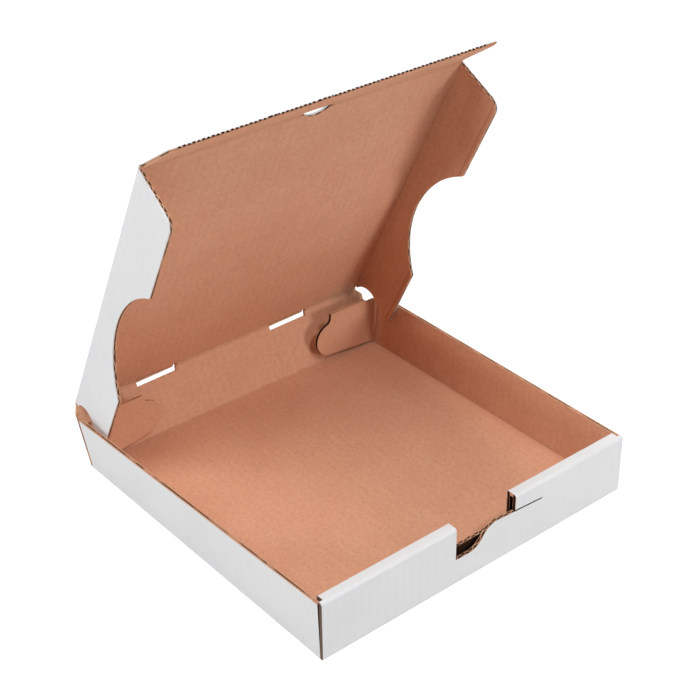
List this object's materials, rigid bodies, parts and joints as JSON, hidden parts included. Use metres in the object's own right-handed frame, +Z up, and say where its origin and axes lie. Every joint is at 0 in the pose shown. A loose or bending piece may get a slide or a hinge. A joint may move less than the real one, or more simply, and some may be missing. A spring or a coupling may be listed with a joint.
{
  "type": "pizza_box",
  "caption": "Open square pizza box of corrugated cardboard, white outside and brown inside, with a hinged lid, tuck flaps, corner flaps and a roll-over front with a hand notch.",
  "frame": {"origin": "middle of the tray's underside", "axes": "+Z up, +Y to the hinge side, +X to the right seen from the notched front"},
  "size_m": [0.2651, 0.2707, 0.2813],
  "materials": {
    "corrugated_board": "matte"
  },
  "bodies": {
    "tray": {"tray": "corrugated_board"},
    "back_panel": {"back_panel": "corrugated_board"},
    "lid": {"lid": "corrugated_board"},
    "front_flap": {"front_flap": "corrugated_board"},
    "left_flap": {"left_flap": "corrugated_board"},
    "right_flap": {"right_flap": "corrugated_board"}
  },
  "joints": [
    {"name": "lid_fold", "type": "hinge", "parent": "back_panel", "child": "lid", "pos_m": [0, 0.14371, 0.04178], "axis": [-1, 0, 0], "range_deg": [-40.1, 48.9]},
    {"name": "back_fold", "type": "hinge", "parent": "tray", "child": "back_panel", "pos_m": [0, 0.127, 0], "axis": [-1, 0, 0], "range_deg": [-21.4, 26.1]},
    {"name": "left_flap_fold", "type": "hinge", "parent": "lid", "child": "left_flap", "pos_m": [-0.125, 0.14371, 0.04178], "axis": [0, -0.4555, 0.8902], "range_deg": [-8, 6.6]},
    {"name": "right_flap_fold", "type": "hinge", "parent": "lid", "child": "right_flap", "pos_m": [0.125, 0.14371, 0.04178], "axis": [0, 0.4555, -0.8902], "range_deg": [-5, 4.1]},
    {"name": "front_flap_fold", "type": "hinge", "parent": "lid", "child": "front_flap", "pos_m": [0, 0.03174, 0.2606], "axis": [1, 0, 0], "range_deg": [-30.1, 62.9]}
  ],
  "couplings": [
    {"joint": "back_fold", "follows": "lid_fold", "ratio": 0.5312},
    {"joint": "left_flap_fold", "follows": "lid_fold", "ratio": -0.1621},
    {"joint": "right_flap_fold", "follows": "lid_fold", "ratio": -0.0998}
  ]
}
